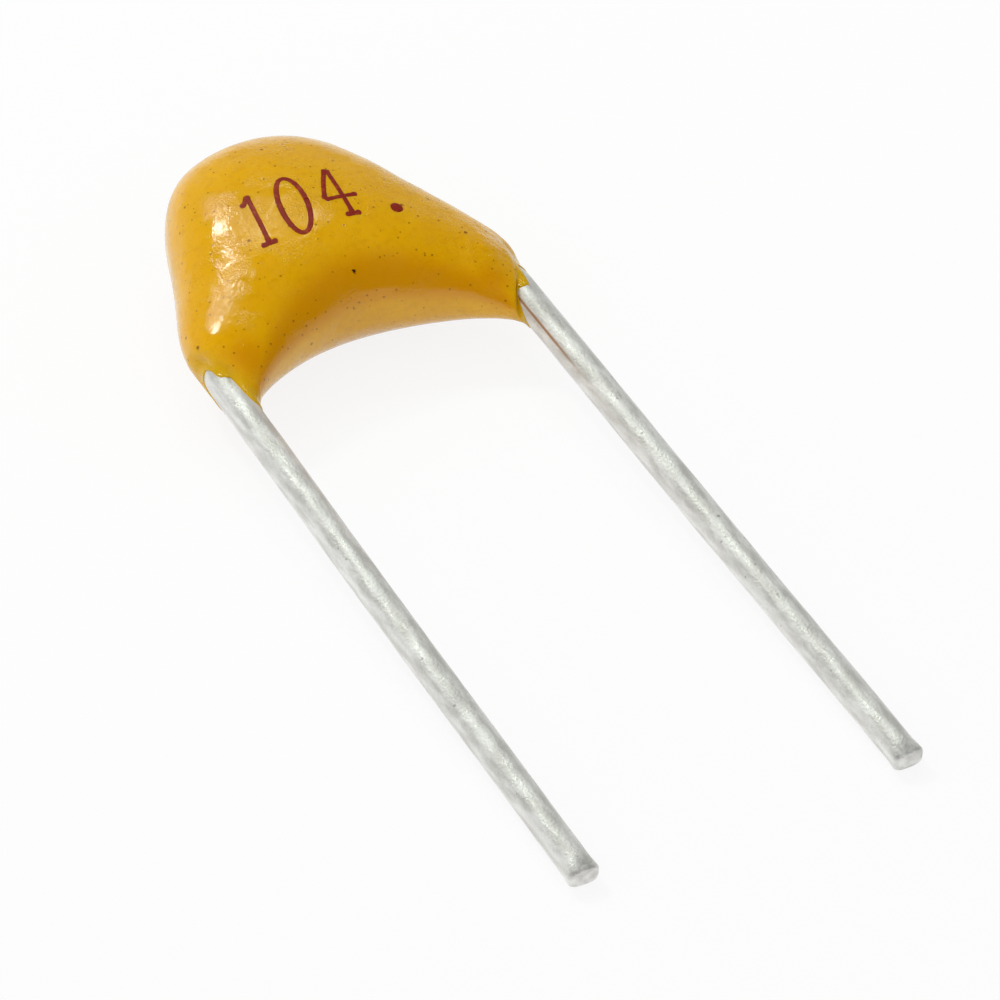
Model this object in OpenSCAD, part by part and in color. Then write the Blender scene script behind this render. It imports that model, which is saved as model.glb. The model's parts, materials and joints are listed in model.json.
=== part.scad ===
// Radial multilayer ceramic capacitor in a dipped epoxy coating.
//
// Everything is drawn in the device plane first: x runs across the leads, y
// rises from the pitch line, where the leads leave the coating, to the crown,
// and z goes through the thickness.  The finished device is then laid on its
// back, so that the coating and both cut lead ends touch the plane z = 0.

/* [Leads] */
// Distance between the two leads on the pitch line
lead_pitch = 5.08; // [4.6:0.02:5.6]
// Diameter of the tinned wire
lead_d = 0.5; // [0.4:0.01:0.56]
// Left lead, from the pitch line to its cut end
left_free = 10.94; // [6:0.02:25]
// Right lead, from the pitch line to its cut end
right_free = 10.88; // [6:0.02:25]
// Outward lean of the left lead, in degrees
left_splay = 0; // [-1:0.1:3]
// Outward lean of the right lead, in degrees
right_splay = 2.2; // [-1:0.1:3]
// Height above the pitch line at which a lead starts to bend inwards
kink_start = 0.45; // [0.3:0.05:0.6]
// Angle at which a lead runs in towards the ceramic block, in degrees
kink_angle = 40; // [34:1:48]
// Centreline radius of the bends in a lead
bend_r = 0.7; // [0.5:0.05:0.8]
// Extra radius of the wire in its bends, which forming leaves a little full
bend_full = 0.01; // [0.005:0.005:0.03]
// Length of lead that the cutters squeezed
pinch_len = 0.3; // [0.1:0.02:0.5]
// Width of a cut end, across the cutters
pinch_w = 0.56; // [0.5:0.01:0.7]
// Thickness of a cut end, between the cutters
pinch_t = 0.3; // [0.1:0.02:0.4]

/* [Ceramic block] */
// Length of the block, from one end face to the other
block_len = 2; // [1.6:0.05:2.1]
// Width of the block, along y
block_w = 1.25; // [0.8:0.05:1.4]
// Thickness of the block, through its layers
block_t = 1.1; // [0.8:0.02:1.2]
// Radius along the long edges of the block
block_edge_r = 0.08; // [0.02:0.01:0.12]
// Height of the block's middle above the pitch line
block_y = 2.95; // [2.85:0.05:3.1]
// Distance of the block's middle to the right of the middle between the leads
block_x = -0.12; // [-0.2:0.02:0.2]
// Distance by which a lead ends short of the block's top side
seat_short = 0.15; // [0:0.05:0.4]

/* [Electrodes] */
// Number of electrodes that reach each end of the block
electrodes_per_end = 6; // [2:1:7]
// Thickness of one electrode
electrode_t = 0.02; // [0.01:0.005:0.03]
// Thickness of the ceramic between two electrodes
dielectric_t = 0.05; // [0.03:0.005:0.055]
// Ceramic left between an electrode and the far end of the block
end_margin = 0.3; // [0.15:0.05:0.5]
// Ceramic left between an electrode and the block's long sides
side_margin = 0.2; // [0.12:0.02:0.3]

/* [Terminations] */
// Thickness of the fired metal on the ends of the block
term_t = 0.04; // [0.02:0.01:0.06]
// Length of block that a termination wraps round
term_band = 0.4; // [0.2:0.05:0.5]
// Solder between a termination and its lead
solder_film = 0.03; // [0.02:0.01:0.05]
// Radius of the hollow solder fillets
fillet_r = 0.22; // [0.15:0.01:0.24]

/* [Coating] */
// Height of the crown above the pitch line
crown_y = 5.15; // [4.9:0.02:5.6]
// Roundness of the crown: length of its flat handle each way
crown_reach = 1.1; // [0.8:0.05:1.5]
// Half width where the coating is widest
corner_x = 2.8; // [2.7:0.02:3.1]
// Height at which the coating is widest
corner_y = 1.53; // [1.3:0.05:1.8]
// Half width at the shoulders
shoulder_x = 1.86; // [1.6:0.02:2.2]
// Height of the shoulders
shoulder_y = 3.67; // [3.4:0.02:4]
// Length of the curve from a shoulder towards the crown
shoulder_reach = 0.94; // [0.6:0.02:1.2]
// Height of the arch between the legs
arch_y = 1.19; // [0.8:0.02:1.4]
// Flatness of the top of the arch
arch_reach = 0.77; // [0.3:0.02:1.2]
// Steepness of the arch where it leaves a lead
arch_rise = 0.62; // [0.3:0.02:0.9]
// Half thickness over the middle of the block
middle_half_t = 1.21; // [1.1:0.02:1.4]
// How softly the two flanks run together in the middle
middle_round = 0.25; // [0.15:0.05:0.5]
// Squareness of the cross sections: 2 is an ellipse
section_power = 2.35; // [2:0.05:3]
// Sideways lean of the crown
crown_lean = -0.27; // [-0.4:0.01:0.4]
// Height of the ridge that the coating forms over a lead
ridge_h = 0.05; // [0:0.01:0.1]
// Half width of that ridge
ridge_w = 0.3; // [0.2:0.02:0.4]

/* [Lead exits] */
// Thickness of the film where the coating ends on the wire
film_t = 0.03; // [0.02:0.005:0.06]
// Height at which the coating ends on the outer side of a lead
exit_outer_y = 1; // [0.8:0.05:1.2]
// Height at which it ends on the inner side
exit_inner_y = -0.04; // [-0.3:0.02:0.2]
// Rise of that end from the middle of the wire to its front
exit_rise = 0.25; // [0:0.05:0.35]

/* [Hidden] */
$fn = 64;
left_names = [for (i = [1:electrodes_per_end]) str("left_electrode_", i)];
right_names = [for (i = [1:electrodes_per_end]) str("right_electrode_", i)];

// Mesh of the coating: stations from a lead exit to the middle, points a ring
half_stations = 26;
ring_points = 40;
curve_steps = 24;

// Parts of the way from an exit to the middle: where the section has become
// square, where the ridge has its full height and where the slanted end is over
square_from = 1 / 3;
ridge_from = 1 / 4;
drawn_to = 1 / 8;
steepest_rest = 20;
halvings = 24;

lead_r = lead_d / 2;
exit_r = lead_r + film_t;
pitch_x = lead_pitch / 2;
term_face_x = block_len / 2 + term_t;
seat_top_y = block_y + block_w / 2 - seat_short;
stack_pitch = electrode_t + dielectric_t;
stack_h = 2 * electrodes_per_end * electrode_t
    + (2 * electrodes_per_end - 1) * dielectric_t;

// ---------------------------------------------------------------- outlines

function smooth(t) = let (u = max(0, min(1, t))) u * u * (3 - 2 * u);
function sign_power(v, p) = sign(v) * pow(abs(v), p);
function mix(a, b, t) = a + (b - a) * t;

// Point of a cubic Bezier curve
function bezier(p, t) =
    pow(1 - t, 3) * p[0] + 3 * pow(1 - t, 2) * t * p[1]
    + 3 * (1 - t) * t * t * p[2] + pow(t, 3) * p[3];

// Points along several Bezier curves that run on from each other
function chain(curves) = concat(
    [curves[0][0]],
    [for (c = curves) for (i = [1:curve_steps]) bezier(c, i / curve_steps)]
);

// Distance travelled along a list of points, at each of them
function travelled(p) =
    [for (i = 0, s = 0; i < len(p); s = s + (i + 1 < len(p) ? norm(p[i + 1] - p[i]) : 0),
          i = i + 1) s];

// The same line as count equal steps
function even_steps(p, count) =
    let (s = travelled(p), last = len(p) - 1,
         xs = [for (i = [0:last]) [s[i], p[i].x]],
         ys = [for (i = [0:last]) [s[i], p[i].y]])
    [for (k = [0:count]) let (at = s[last] * k / count) [lookup(at, xs), lookup(at, ys)]];

// Outer outline of the right half: from the lead's outer side to the crown
exit_out = [pitch_x + exit_r, exit_outer_y];
corner = [corner_x, corner_y];
shoulder = [shoulder_x, shoulder_y];
crown = [0, crown_y];
flank = shoulder - corner;
flank_dir = flank / norm(flank);
corner_dir = (flank_dir + [0, 1]) / norm(flank_dir + [0, 1]);
foot_reach = norm(corner - exit_out) / 2;
flank_reach = norm(flank) / 3;
outer_line = even_steps(chain([
    [exit_out, exit_out + [0, foot_reach], corner - corner_dir * foot_reach, corner],
    [corner, corner + corner_dir * flank_reach, shoulder - flank_dir * flank_reach, shoulder],
    [shoulder, shoulder + flank_dir * shoulder_reach, crown + [crown_reach, 0], crown]
]), half_stations);

// Arch of the right half: from the lead's inner side to the middle
exit_in = [pitch_x - exit_r, exit_inner_y];
arch_top = [0, arch_y];
arch_line = even_steps(chain([
    [exit_in, exit_in + [0, arch_rise], arch_top + [arch_reach, 0], arch_top]
]), half_stations);

// ------------------------------------------------------------ lead centreline
// side is 1 for the right lead and -1 for the left one.  Both are drawn as a
// right lead, and the left one is mirrored afterwards.

function splay(side) = side > 0 ? right_splay : left_splay;
function free_length(side) = side > 0 ? right_free : left_free;
function heading(angle) = [-sin(angle), cos(angle)];
function away(angle) = [cos(angle), sin(angle)];

// Point on the straight of a lead, some way back from its cut end
function on_straight(side, back) =
    [pitch_x, 0] - (free_length(side) - back) * heading(splay(side));
function kink_from(side) = [pitch_x - kink_start * tan(splay(side)), kink_start];
function bend_centre(side) = kink_from(side) - bend_r * away(splay(side));
function run_from(side) = bend_centre(side) + bend_r * away(kink_angle);

// Where the lead stands against the end of the block, and the run's upper end
function seat_x(side) = term_face_x + solder_film + lead_r + side * block_x;
function run_to(side) =
    let (from = run_from(side), x = seat_x(side) + bend_r * (1 - cos(kink_angle)))
    [x, from.y + (from.x - x) / tan(kink_angle)];
function seat_centre(side) = run_to(side) + bend_r * away(kink_angle);

// ------------------------------------------------------------- coating surface

// Distance from point p to the straight from a to b
function off_line(p, a, b) =
    let (d = b - a, t = max(0, min(1, ((p - a) * d) / (d * d)))) norm(p - a - d * t);

// Half thickness at station f, from 0 at an exit to 1 in the middle: it grows
// in a straight line and is rounded off at the top by a hyperbola
function soften(u) = sqrt(u * u + middle_round * middle_round);
function half_t(f) = mix(exit_r, middle_half_t,
    (soften(1) - soften(1 - f)) / (soften(1) - soften(0)));

// Point of the right half at station k and ring angle a.  The section is a
// superellipse between the arch and the outer outline, and near the exit its
// front is drawn up along the wire.
function half_point(k, a, side) =
    let (f = k / half_stations,
         p = 2 / mix(2, section_power, smooth(f / square_from)),
         mid = (outer_line[k] + arch_line[k]) / 2,
         reach = (outer_line[k] - arch_line[k]) / 2,
         flat = mid + reach * sign_power(cos(a), p),
         bulge = sign_power(sin(a), p),
         near = off_line(flat, run_from(side), run_to(side)) / ridge_w,
         ridge = ridge_h * exp(-near * near) * smooth(f / ridge_from),
         z = (half_t(f) + ridge) * bulge,
         drawn = exit_rise * z / exit_r * (1 - smooth(f / drawn_to)))
    [flat.x, flat.y + drawn, z];

// Crown pushed sideways
function lean(p) =
    [p.x + crown_lean * smooth((p.y - exit_outer_y) / (crown_y - exit_outer_y)), p.y, p.z];

function ring(k, side) =
    [for (i = [0:ring_points - 1])
        let (p = half_point(k, 360 * i / ring_points, side)) lean([side * p.x, p.y, p.z])];

coat_rings = concat(
    [for (k = [0:half_stations]) ring(k, -1)],
    [for (k = [1:half_stations]) ring(half_stations - k, 1)]
);
coat_points = [for (r = coat_rings) each r];

// --------------------------------------------------------------- rest position

left_tip = on_straight(-1, 0);
right_tip = on_straight(1, 0);
left_touch = on_straight(-1, pinch_len);
right_touch = on_straight(1, pinch_len);

// Lowest points of the coating and of the leads once the device leans back
function coat_low(tilt) = min([for (p = coat_points) p.y * sin(tilt) + p.z * cos(tilt)]);
function lead_low(tilt) =
    min(left_touch.y, right_touch.y) * sin(tilt) - lead_r * cos(tilt);

// The tilt at which both are level, found by halving an interval
function level(low, high, times) =
    let (tilt = (low + high) / 2)
    times == 0 ? tilt
    : coat_low(tilt) < lead_low(tilt) ? level(tilt, high, times - 1)
    : level(low, tilt, times - 1);
rest_tilt = level(0, steepest_rest, halvings);
rest_z = -lead_low(rest_tilt);

coat_ys = [for (p = coat_points) p.y * cos(rest_tilt) - p.z * sin(rest_tilt)];
coat_xs = [for (p = coat_points) p.x];
back_y = min(left_tip.y, right_tip.y) * cos(rest_tilt) - pinch_t / 2 * sin(rest_tilt);
left_x = min(min(coat_xs), -left_tip.x - pinch_w / 2);
right_x = max(max(coat_xs), right_tip.x + pinch_w / 2);
rest_shift = [-(left_x + right_x) / 2, -(max(coat_ys) + back_y) / 2, rest_z];

// Lays the device on its back, with the origin under the middle of its box
module at_rest() {
    translate(rest_shift) rotate([rest_tilt, 0, 0]) children();
}

// Turns a right-hand shape into the one for that side
module on_side(side) {
    if (side > 0) children();
    else mirror([1, 0, 0]) children();
}

// ----------------------------------------------------------------- lead shapes

// Round wire along a straight line in the device plane
module rod(from, to) {
    run = to - from;
    translate([from.x, from.y, 0]) rotate([0, 0, atan2(run.y, run.x)]) rotate([0, 90, 0])
        cylinder(h = norm(run), d = lead_d);
}

// Round wire bent about centre, from one angle through another
module bend(centre, from_angle, through) {
    translate([centre.x, centre.y, 0]) rotate([0, 0, from_angle])
        rotate_extrude(angle = through) translate([bend_r, 0]) circle(lead_r + bend_full);
}

// Lead from a given point on its straight, in along the kink and up the end of
// the block.  The straights run on a little way inside the fuller bends.
module wire(side, start) {
    lap = sqrt(bend_r * bend_full);
    run = heading(kink_angle);
    seat = seat_centre(side);
    union() {
        rod(start, kink_from(side) + lap * heading(splay(side)));
        bend(bend_centre(side), splay(side), kink_angle - splay(side));
        rod(run_from(side) - lap * run, run_to(side) + lap * run);
        bend(seat, 180, kink_angle);
        rod([seat_x(side), seat.y - lap], [seat_x(side), seat_top_y]);
    }
}

// Squeezed end: from the round wire to a flat, rounded edge
module pinch() {
    lap = lead_d / 16;
    corner_r = pinch_t / 2;
    hull() {
        translate([0, 0, -lap]) cylinder(h = lap, d = 0.98 * lead_d, $fn = 32);
        for (x = [-1, 1])
            translate([x * (pinch_w / 2 - corner_r), 0, pinch_len - lap])
                cylinder(h = lap, r = corner_r, $fn = 24);
    }
}

module lead(side) {
    touch = on_straight(side, pinch_len);
    union() {
        wire(side, touch);
        translate([touch.x, touch.y, 0]) rotate([90, 0, splay(side)]) pinch();
    }
}

// ---------------------------------------------------------------- block shapes

// Bar along x with rounded long edges, grown by skin on every long side.  It
// is placed from the middle of the block, seen from the given side.
module block_bar(side, from_x, to_x, skin) {
    w = block_w / 2 + skin;
    t = block_t / 2 + skin;
    r = block_edge_r + skin;
    translate([side * block_x + from_x, block_y, 0]) rotate([90, 0, 90])
        linear_extrude(to_x - from_x) union() {
            square([2 * w, 2 * (t - r)], center = true);
            square([2 * (w - r), 2 * t], center = true);
            for (x = [-1, 1], y = [-1, 1]) translate([x * (w - r), y * (t - r)]) circle(r);
        }
}

// The whole block, without its electrodes' slots
module block_body() {
    block_bar(1, -block_len / 2, block_len / 2, 0);
}

// Electrode number i of one end.  Layers alternate between the two ends.
module electrode(side, i) {
    layer = 2 * (i - 1) + (side > 0 ? 1 : 0);
    length = block_len - end_margin;
    translate([block_x + (side > 0 ? block_len / 2 - length : -block_len / 2),
               block_y - block_w / 2 + side_margin, -stack_h / 2 + layer * stack_pitch])
        cube([length, block_w - 2 * side_margin, electrode_t]);
}

// Outside of a termination: a cap over the end and a band round it
module termination_body(side) {
    block_bar(side, block_len / 2 - term_band, term_face_x, term_t);
}

module termination(side) {
    difference() {
        termination_body(side);
        block_bar(side, block_len / 2 - 2 * term_band, block_len / 2, 0);
    }
}

// Hollow solder fillets between a termination and the wire.  The fillet circles
// are sunk a little, so that the solder's edges have some thickness.
module solder(side) {
    face = term_face_x + side * block_x;
    sunk = 0.97;
    fillet_x = face + sunk * fillet_r;
    fillet_z = sunk * sqrt(pow(lead_r + fillet_r, 2) - pow(solder_film + lead_r - fillet_r, 2));
    low_y = max(block_y - block_w / 2, seat_centre(side).y);
    difference() {
        translate([0, low_y, 0]) rotate([-90, 0, 0]) linear_extrude(seat_top_y - low_y)
            difference() {
                polygon([[face, -fillet_z], [face, fillet_z], [fillet_x, fillet_z],
                         [seat_x(side), 0], [fillet_x, -fillet_z]]);
                for (z = [-1, 1]) translate([fillet_x, z * fillet_z]) circle(fillet_r);
            }
        rod([seat_x(side), low_y - lead_d], [seat_x(side), seat_top_y + lead_d]);
    }
}

// -------------------------------------------------------------------- sub-parts

// The dipped coating, closed round everything inside it
module epoxy_coating() {
    rings = len(coat_rings);
    last = (rings - 1) * ring_points;
    color("goldenrod") at_rest() difference() {
        polyhedron(coat_points, concat(
            [[for (i = [0:ring_points - 1]) i]],
            [for (k = [0:rings - 2], i = [0:ring_points - 1])
                let (a = k * ring_points + i, b = k * ring_points + (i + 1) % ring_points)
                each [[a, a + ring_points, b], [b, a + ring_points, b + ring_points]]],
            [[for (i = [ring_points - 1:-1:0]) last + i]]
        ), convexity = 6);
        block_body();
        for (side = [-1, 1]) on_side(side) {
            termination_body(side);
            solder(side);
            wire(side, on_straight(side, free_length(side) - lead_pitch));
        }
    }
}

module ceramic_block() {
    color("sienna") at_rest() difference() {
        block_body();
        for (i = [1:electrodes_per_end], side = [-1, 1]) electrode(side, i);
    }
}

module left_electrode(i) {
    color("silver") at_rest() electrode(-1, i);
}

module right_electrode(i) {
    color("silver") at_rest() electrode(1, i);
}

module left_termination() {
    color("gainsboro") at_rest() on_side(-1) termination(-1);
}

module right_termination() {
    color("gainsboro") at_rest() on_side(1) termination(1);
}

module left_solder() {
    color("lightgray") at_rest() on_side(-1) solder(-1);
}

module right_solder() {
    color("lightgray") at_rest() on_side(1) solder(1);
}

module left_lead() {
    color("darkgray") at_rest() on_side(-1) lead(-1);
}

module right_lead() {
    color("darkgray") at_rest() on_side(1) lead(1);
}

epoxy_coating();
ceramic_block();
for (i = [1:electrodes_per_end])
    left_electrode(i);
for (i = [1:electrodes_per_end])
    right_electrode(i);
left_termination();
right_termination();
left_solder();
right_solder();
left_lead();
right_lead();
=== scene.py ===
"""Dressed model of a radial multilayer ceramic capacitor in dipped epoxy.

Sizes in the classes are millimetres of the device plane: x runs across the
leads, y rises from the pitch line to the crown and z goes through the
thickness.  DeviceFrame lays the finished device on its back and turns the
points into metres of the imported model.
"""

import json
import logging
import math
from dataclasses import dataclass
from enum import Enum
from functools import cached_property

import bpy
import numpy as np
from mathutils import Matrix, Vector


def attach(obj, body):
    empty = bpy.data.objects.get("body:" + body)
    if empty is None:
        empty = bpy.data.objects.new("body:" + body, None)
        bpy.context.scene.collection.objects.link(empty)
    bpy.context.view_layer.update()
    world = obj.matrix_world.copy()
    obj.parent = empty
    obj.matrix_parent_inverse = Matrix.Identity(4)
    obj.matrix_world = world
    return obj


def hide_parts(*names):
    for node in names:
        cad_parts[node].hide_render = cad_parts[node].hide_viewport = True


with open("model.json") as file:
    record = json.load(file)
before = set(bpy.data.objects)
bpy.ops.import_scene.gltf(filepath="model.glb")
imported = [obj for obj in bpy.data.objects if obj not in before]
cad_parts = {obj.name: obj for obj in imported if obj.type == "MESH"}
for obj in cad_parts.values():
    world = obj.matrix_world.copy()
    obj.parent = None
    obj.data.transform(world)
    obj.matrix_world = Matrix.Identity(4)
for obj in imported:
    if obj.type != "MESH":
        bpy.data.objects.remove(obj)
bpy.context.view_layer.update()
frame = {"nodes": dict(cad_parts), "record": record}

MM = 0.001
BODY = "root"
LOG = logging.getLogger("capacitor")

Array = np.ndarray
Node = bpy.types.Node
Pair = tuple[float, float]
Triple = tuple[float, float, float]
Colour = tuple[float, float, float, float]
Faces = list[tuple[int, ...]]
Piece = bpy.types.Object
Socket = bpy.types.NodeSocket

WHITE: Colour = (1.0, 1.0, 1.0, 1.0)


class Side(Enum):
    """Which of the two leads; the value is the sign of its x."""

    LEFT = -1
    RIGHT = 1


class Slot(Enum):
    """Material slots of the record."""

    EPOXY = "epoxy"
    CERAMIC = "ceramic"
    ELECTRODE = "electrode"
    TERMINATION = "termination"
    SOLDER = "solder"
    LEAD = "lead"


# --- numbers


def smooth(t: Array) -> Array:
    """Returns 3 t squared minus 2 t cubed, with t held between 0 and 1."""
    u = np.clip(t, 0.0, 1.0)
    return u * u * (3.0 - 2.0 * u)


def sign_power(v: Array, p: Array) -> Array:
    """Returns the size of v raised to p, with the sign of v."""
    return np.sign(v) * np.abs(v) ** p


def bezier(corners: Array, steps: int) -> Array:
    """Points of a cubic Bezier curve, without its first one.

    Args:
        corners: The four handles, one a row.
        steps: How many points.

    Returns:
        The points, one a row.
    """
    t = np.linspace(0.0, 1.0, steps + 1)[1:, None]
    s = 1.0 - t
    weights = np.hstack([s**3, 3 * s * s * t, 3 * s * t * t, t**3])
    return weights @ corners


def unit(vectors: Array) -> Array:
    """The same vectors at unit length."""
    return vectors / np.maximum(np.linalg.norm(vectors, axis=-1, keepdims=True), 1e-12)


def at_angle(degrees: Array | float) -> Array:
    """Unit vectors of the plane at angles above x."""
    a = np.radians(degrees)
    return np.stack([np.cos(a), np.sin(a)], -1)


def bell(points: Array, middle: Triple, reach: Triple) -> Array:
    """e to minus the squared distance from a middle, counted in reaches."""
    return np.exp(-(np.linalg.norm((points - middle) / np.array(reach), axis=-1) ** 2))


def lengths(line: Array) -> Array:
    """How far along a line each of its points lies."""
    steps = np.linalg.norm(np.diff(line, axis=0), axis=1)
    return np.concatenate([[0.0], np.cumsum(steps)])


def even_steps(line: Array, count: int) -> Array:
    """The same line as count equal steps of its length, so count + 1 points."""
    at = lengths(line)
    goal = np.linspace(0.0, at[-1], count + 1)
    return np.stack([np.interp(goal, at, column) for column in line.T], -1)


def waves(points: Array, pitch: float, seed: int, count: int = 10) -> Array:
    """Soft unevenness: the mean of sine waves in seeded directions.

    Each wave is the sine of the point's distance along a random direction,
    over a wavelength within a third of pitch, plus a random phase.

    Args:
        points: Array whose last axis is x, y, z.
        pitch: Middle wavelength.
        seed: Seed of the directions and phases.
        count: How many waves.

    Returns:
        Heights between about -1 and 1, one for each point.
    """
    draw = np.random.default_rng(seed)
    ways = unit(draw.normal(size=(count, 3)))
    ways *= 2 * math.pi / (pitch * draw.uniform(0.7, 1.35, (count, 1)))
    phases = draw.uniform(0, 2 * math.pi, count)
    return np.sin(points @ ways.T + phases).sum(-1) / math.sqrt(2 * count)


def grid_normals(grid: Array) -> Array:
    """Unit normals of a grid of rings that close on themselves.

    Args:
        grid: Array of rings by points by 3.

    Returns:
        The cross product of the two central differences, at unit length and
        turned away from the rings' middles.
    """
    along = np.gradient(grid, axis=0)
    around = np.roll(grid, -1, 1) - np.roll(grid, 1, 1)
    normals = unit(np.cross(along, around))
    outward = grid - grid.mean(1, keepdims=True)
    return normals * np.sign((normals * outward).sum())


def tube_faces(rings: int, points: int, start: int) -> Faces:
    """Quads between rings of points, with a cap on each end.

    Args:
        rings: How many rings.
        points: Points in each ring.
        start: Number of the first vertex.

    Returns:
        The faces.
    """
    ring, point = np.meshgrid(np.arange(rings - 1), np.arange(points), indexing="ij")
    a = start + ring * points + point
    b = start + ring * points + (point + 1) % points
    quads = np.stack([a, b, b + points, a + points], -1).reshape(-1, 4)
    first = tuple(range(start + points - 1, start - 1, -1))
    last = start + (rings - 1) * points
    return [tuple(q) for q in quads.tolist()] + [first, tuple(range(last, last + points))]


def tube_volume(grid: Array) -> float:
    """Six times the signed volume inside the quads of a tube grid."""
    nxt = np.roll(grid, -1, 1)
    a, b, c, d = grid[:-1], nxt[:-1], nxt[1:], grid[1:]
    return float((np.cross(a, b) * c).sum() + (np.cross(a, c) * d).sum())


# --- frame


@dataclass(frozen=True)
class DeviceFrame:
    """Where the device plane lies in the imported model.

    Attributes:
        tilt: Angle by which the device leans back, in radians.
        shift: Where its origin goes, in millimetres.
    """

    tilt: float
    shift: Triple

    @classmethod
    def of_pin(cls, mount: dict, lead: "Lead") -> "DeviceFrame":
        """Works the frame out from the left lead's pin.

        The pin's axis runs down the straight lead, so its slope is the tilt.
        Its lower end is the end of the round wire, where the squeezed end
        starts.

        Args:
            mount: The record's left_lead_pin.
            lead: The left lead.

        Returns:
            The frame.
        """
        tilt = math.atan2(-mount["axis"][2], -mount["axis"][1])
        reach = mount["dims"]["length_mm"] / 2 * np.array(mount["axis"])
        down = lead.free - lead.sizes.pinch_len
        end = (-lead.sizes.pitch / 2, -down * math.cos(tilt), -down * math.sin(tilt))
        return cls(tilt, tuple(np.array(mount["pos_m"]) / MM + reach - end))

    def place(self, points: Array) -> Array:
        """Device points in millimetres to the model's metres.

        Args:
            points: Array whose last axis is x, y, z.

        Returns:
            The points turned about x by the tilt, shifted and in metres.
        """
        c, s = math.cos(self.tilt), math.sin(self.tilt)
        x, y, z = points[..., 0], points[..., 1], points[..., 2]
        laid = np.stack([x, y * c - z * s, y * s + z * c], -1)
        return (laid + np.array(self.shift)) * MM


def put_object(name: str, data: bpy.types.ID) -> Piece:
    """Puts a mesh, lamp or camera into the scene as an object."""
    placed = bpy.data.objects.new(name, data)
    bpy.context.scene.collection.objects.link(placed)
    return placed


def put_mesh(name: str, points: Array, faces: Faces, marks: dict[str, Array]) -> Piece:
    """Puts a finished mesh into the scene, smooth shaded.

    Args:
        name: Name of the piece.
        points: Vertices in metres, one a row.
        faces: Faces that point outwards.
        marks: Point attributes by name, one number a vertex.

    Returns:
        The object, which sits at the origin.
    """
    mesh = bpy.data.meshes.new(name)
    mesh.from_pydata(points.tolist(), [], faces)
    mesh.polygons.foreach_set("use_smooth", np.ones(len(mesh.polygons), bool))
    for key, values in marks.items():
        mark = mesh.attributes.new(key, "FLOAT", "POINT")
        mark.data.foreach_set("value", values.astype(np.float32))
    mesh.validate()
    LOG.info("%s: %d faces", name, len(mesh.polygons))
    return put_object(name, mesh)


def put_tubes(
    name: str, device: DeviceFrame, tubes: list[Array], marks: tuple[str, ...] = ()
) -> Piece:
    """Puts closed tubes into the scene as one piece.

    A tube is an array of rings by points by columns: x, y and z in device
    millimetres, then one column for each mark.  Its rings are turned round
    where its faces would point inwards.

    Args:
        name: Name of the piece.
        device: Where the device plane lies.
        tubes: The tubes.
        marks: Names of the point attributes.

    Returns:
        The piece.
    """
    rows, faces = [], []
    for tube in tubes:
        if tube_volume(tube[..., :3]) < 0:
            tube = tube[:, ::-1]
        faces += tube_faces(*tube.shape[:2], sum(map(len, rows)))
        rows.append(tube.reshape(-1, tube.shape[-1]))
    table = np.vstack(rows)
    return put_mesh(name, device.place(table[:, :3]), faces, dict(zip(marks, table[:, 3:].T)))


# --- leads


@dataclass(frozen=True)
class LeadSizes:
    """Sizes that both leads share, and the form of the wire's skin.

    Attributes:
        pinch_power: How much squarer than a circle the cut end's section is.
        face_shrink: Sizes of the rings that close an end, as shares.
        face_sink: How far those rings lie inside the cut end's rim.
        rim_slide: How far the cut end's first two rings move up the wire.
        dents: Pitch, weight and seed of the two sets of waves in the tin.
        dent_stretch: Scale along the wire at which the waves are read.
        dent_most: Wave height at which a dent stops growing.
    """

    pitch: float = 5.08
    radius: float = 0.25
    bend_r: float = 0.7
    seat_gap: float = 0.07
    block_half: float = 1.0
    block_x: float = -0.12
    seat_top: float = 3.425
    pinch_len: float = 0.3
    pinch_w: float = 0.52
    pinch_t: float = 0.36
    pinch_power: float = 1.2
    face_shrink: tuple[float, ...] = (0.97, 0.9, 0.78, 0.4)
    face_sink: tuple[float, ...] = (0.05, 0.026, 0.01, 0.003)
    rim_slide: Pair = (0.06, 0.03)
    round_points: int = 72
    arc_points: int = 16
    step: float = 0.05
    dents: tuple[tuple[float, float, int], ...] = ((0.35, 1.0, 0), (0.13, 0.6, 20))
    dent_stretch: float = 0.35
    dent_most: float = 1.2
    dent_depth: float = 0.0018


@dataclass(frozen=True)
class PaintedReflectionLine:
    """A painted reflection: a thin brown line down a wire, where its tin would mirror the orange
    body.

    Attributes:
        angle: Its place round the wire, in degrees.
        width: Its half width, in degrees.
        foot: Height at which it starts to show.
        fade: Length over which it grows to full strength.
    """

    angle: float = 143.0
    width: float = 6.0
    foot: float = -2.4
    fade: float = 2.0

    def on(self, grid: Array) -> Array:
        """How strongly the line shows at each point of a wire's rings.

        A bell curve of the angle round the wire, times a smooth step up it.
        """
        spoke = grid - grid.mean(1, keepdims=True)
        angle = np.degrees(np.arctan2(spoke[..., 2], spoke[..., 0]))
        run = smooth((grid[..., 1] - self.foot) / self.fade)
        return np.exp(-(((angle - self.angle) / self.width) ** 2)) * run


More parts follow.
